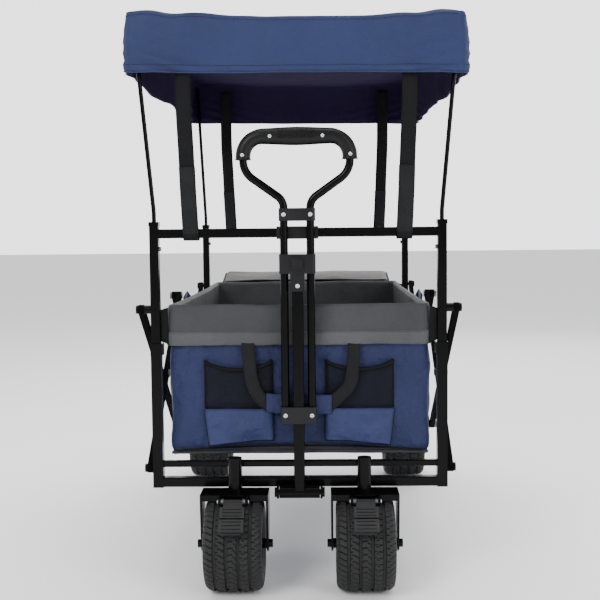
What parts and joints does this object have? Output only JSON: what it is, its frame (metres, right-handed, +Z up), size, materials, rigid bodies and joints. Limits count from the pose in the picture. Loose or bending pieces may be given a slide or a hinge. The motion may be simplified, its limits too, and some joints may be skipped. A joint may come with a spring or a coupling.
{
  "type": "folding camp wagon",
  "caption": "Folding fabric camp wagon with scissor side frame, swivel castors, wide rear wheels, telescopic pull handle and removable canopy.",
  "frame": {"origin": "centre of the bounding box on the ground plane", "axes": "+Y from the pull handle end to the rear bag, +Z up, +X to the right seen from the handle end"},
  "size_m": [0.654, 1.0782, 1.048],
  "materials": {
    "black_steel": "satin black powder coat",
    "zinc_steel": "darkened plated steel",
    "mould_plastic": "moulded black plastic",
    "hub_plastic": "moulded black wheel centre",
    "grip_rubber": "soft black grip",
    "tyre_rubber": "grooved black tread",
    "blue_fabric": "navy blue woven polyester",
    "canopy_fabric": "royal blue woven polyester",
    "grey_fabric": "charcoal grey woven polyester",
    "webbing": "black nylon webbing"
  },
  "bodies": {
    "front_lower_frame": {"front_lower_posts": "black_steel", "front_low_crossbars": "black_steel", "castor_sockets": "black_steel", "handle_ears": "black_steel", "front_foot_pins": "black_steel"},
    "front_upper_frame": {"front_upper_posts": "black_steel", "front_high_crossbar": "black_steel", "front_knob_pins": "black_steel", "front_canopy_poles": "black_steel", "handle_clip": "mould_plastic", "front_canopy_straps": "webbing", "basket_shell": "blue_fabric", "rim_band": "grey_fabric", "floor_mat": "grey_fabric", "front_pockets": "blue_fabric", "carry_strap": "webbing", "canopy": "canopy_fabric"},
    "legs_a": {"scissor_legs_a": "black_steel", "front_rivets": "zinc_steel"},
    "legs_b": {"scissor_legs_b": "black_steel", "mid_bottom_rivets": "zinc_steel"},
    "legs_c": {"scissor_legs_c": "black_steel", "rear_cross_rivets": "zinc_steel"},
    "legs_d": {"scissor_legs_d": "black_steel"},
    "rear_upper_frame": {"rear_upper_posts": "black_steel", "rear_high_crossbar": "black_steel", "rear_knob_pins": "black_steel", "rear_canopy_poles": "black_steel", "rear_canopy_straps": "webbing", "rear_bag": "blue_fabric"},
    "rear_lower_frame": {"rear_lower_posts": "black_steel", "rear_low_crossbars": "black_steel", "rear_foot_pins": "black_steel", "rear_forks": "black_steel"},
    "bag_lid": {"rear_bag_lid": "grey_fabric"},
    "handle": {"handle_pivot_tube": "black_steel", "handle_centre_tube": "black_steel", "handle_lock_housing": "mould_plastic"},
    "handle_slide": {"handle_side_tubes": "black_steel", "handle_low_bracket": "mould_plastic", "handle_top_bracket": "mould_plastic", "handle_grip": "grip_rubber"},
    "handle_latch": {"handle_latch_button": "mould_plastic"},
    "castor_left": {"castor_fork_left": "black_steel"},
    "castor_wheel_left": {"castor_hub_left": "hub_plastic", "castor_tyre_left": "tyre_rubber"},
    "brake_pedal_left": {"brake_pedal_left": "mould_plastic"},
    "rear_wheel_left": {"rear_hub_left": "hub_plastic", "rear_tyre_left": "tyre_rubber"},
    "snap_button_front_left": {"snap_button_front_left": "zinc_steel"},
    "snap_button_rear_left": {"snap_button_rear_left": "zinc_steel"},
    "castor_right": {"castor_fork_right": "black_steel"},
    "castor_wheel_right": {"castor_hub_right": "hub_plastic", "castor_tyre_right": "tyre_rubber"},
    "brake_pedal_right": {"brake_pedal_right": "mould_plastic"},
    "rear_wheel_right": {"rear_hub_right": "hub_plastic", "rear_tyre_right": "tyre_rubber"},
    "snap_button_front_right": {"snap_button_front_right": "zinc_steel"},
    "snap_button_rear_right": {"snap_button_rear_right": "zinc_steel"}
  },
  "joints": [
    {"name": "fold", "type": "hinge", "parent": "front_lower_frame", "child": "legs_a", "pos_m": [0, -0.39808, 0.216], "axis": [1, 0, 0], "range_deg": [0, 39], "deforming": ["basket_shell", "rim_band", "floor_mat", "front_pockets", "carry_strap", "canopy"]},
    {"name": "front_cross", "type": "hinge", "parent": "legs_a", "child": "legs_b", "pos_m": [0, -0.19058, 0.365], "axis": [1, 0, 0], "range_deg": [-78, 0]},
    {"name": "front_knob", "type": "hinge", "parent": "legs_b", "child": "front_upper_frame", "pos_m": [0, -0.39808, 0.514], "axis": [1, 0, 0], "range_deg": [0, 39]},
    {"name": "mid_bottom", "type": "hinge", "parent": "legs_b", "child": "legs_c", "pos_m": [0, 0.01692, 0.216], "axis": [1, 0, 0], "range_deg": [0, 78]},
    {"name": "rear_cross", "type": "hinge", "parent": "legs_c", "child": "legs_d", "pos_m": [0, 0.22442, 0.365], "axis": [1, 0, 0], "range_deg": [-78, 0]},
    {"name": "rear_knob", "type": "hinge", "parent": "legs_c", "child": "rear_upper_frame", "pos_m": [0, 0.43192, 0.514], "axis": [1, 0, 0], "range_deg": [-39, 0]},
    {"name": "rear_foot", "type": "hinge", "parent": "legs_d", "child": "rear_lower_frame", "pos_m": [0, 0.43192, 0.216], "axis": [1, 0, 0], "range_deg": [0, 39]},
    {"name": "bag_lid", "type": "hinge", "parent": "rear_upper_frame", "child": "bag_lid", "pos_m": [0, 0.44392, 0.52357], "axis": [1, 0, 0], "range_deg": [0, 100]},
    {"name": "handle_tilt", "type": "hinge", "parent": "front_lower_frame", "child": "handle", "pos_m": [0, -0.43408, 0.178], "axis": [1, 0, 0], "range_deg": [0, 80]},
    {"name": "handle_extend", "type": "slide", "parent": "handle", "child": "handle_slide", "axis": [0, 0, 1], "range_m": [0, 0.2]},
    {"name": "handle_latch", "type": "slide", "parent": "handle", "child": "handle_latch", "axis": [0, 1, 0], "range_m": [0, 0.003], "stiffness_N_per_m": 400},
    {"name": "castor_swivel_left", "type": "hinge", "parent": "front_lower_frame", "child": "castor_left", "pos_m": [-0.11898, -0.43008, 0.18], "axis": [0, 0, 1], "continuous": true},
    {"name": "castor_spin_left", "type": "hinge", "parent": "castor_left", "child": "castor_wheel_left", "pos_m": [-0.11898, -0.44208, 0.085], "axis": [1, 0, 0], "continuous": true},
    {"name": "brake_left", "type": "hinge", "parent": "castor_left", "child": "brake_pedal_left", "pos_m": [-0.11898, -0.47708, 0.172], "axis": [1, 0, 0], "range_deg": [0, 6]},
    {"name": "rear_spin_left", "type": "hinge", "parent": "rear_lower_frame", "child": "rear_wheel_left", "pos_m": [-0.258, 0.43192, 0.085], "axis": [1, 0, 0], "continuous": true},
    {"name": "snap_front_left", "type": "slide", "parent": "front_upper_frame", "child": "snap_button_front_left", "axis": [-1, 0, 0], "range_m": [0, 0.004], "stiffness_N_per_m": 400},
    {"name": "snap_rear_left", "type": "slide", "parent": "rear_upper_frame", "child": "snap_button_rear_left", "axis": [-1, 0, 0], "range_m": [0, 0.004], "stiffness_N_per_m": 400},
    {"name": "castor_swivel_right", "type": "hinge", "parent": "front_lower_frame", "child": "castor_right", "pos_m": [0.11898, -0.43008, 0.18], "axis": [0, 0, 1], "continuous": true},
    {"name": "castor_spin_right", "type": "hinge", "parent": "castor_right", "child": "castor_wheel_right", "pos_m": [0.11898, -0.44208, 0.085], "axis": [1, 0, 0], "continuous": true},
    {"name": "brake_right", "type": "hinge", "parent": "castor_right", "child": "brake_pedal_right", "pos_m": [0.11898, -0.47708, 0.172], "axis": [1, 0, 0], "range_deg": [0, 6]},
    {"name": "rear_spin_right", "type": "hinge", "parent": "rear_lower_frame", "child": "rear_wheel_right", "pos_m": [0.258, 0.43192, 0.085], "axis": [1, 0, 0], "continuous": true},
    {"name": "snap_front_right", "type": "slide", "parent": "front_upper_frame", "child": "snap_button_front_right", "axis": [1, 0, 0], "range_m": [0, 0.004], "stiffness_N_per_m": 400},
    {"name": "snap_rear_right", "type": "slide", "parent": "rear_upper_frame", "child": "snap_button_rear_right", "axis": [1, 0, 0], "range_m": [0, 0.004], "stiffness_N_per_m": 400}
  ],
  "couplings": [
    {"joint": "front_cross", "follows": "fold", "ratio": -2},
    {"joint": "front_knob", "follows": "fold", "ratio": 1},
    {"joint": "mid_bottom", "follows": "fold", "ratio": 2},
    {"joint": "rear_cross", "follows": "fold", "ratio": -2},
    {"joint": "rear_knob", "follows": "fold", "ratio": -1},
    {"joint": "rear_foot", "follows": "fold", "ratio": 1}
  ]
}
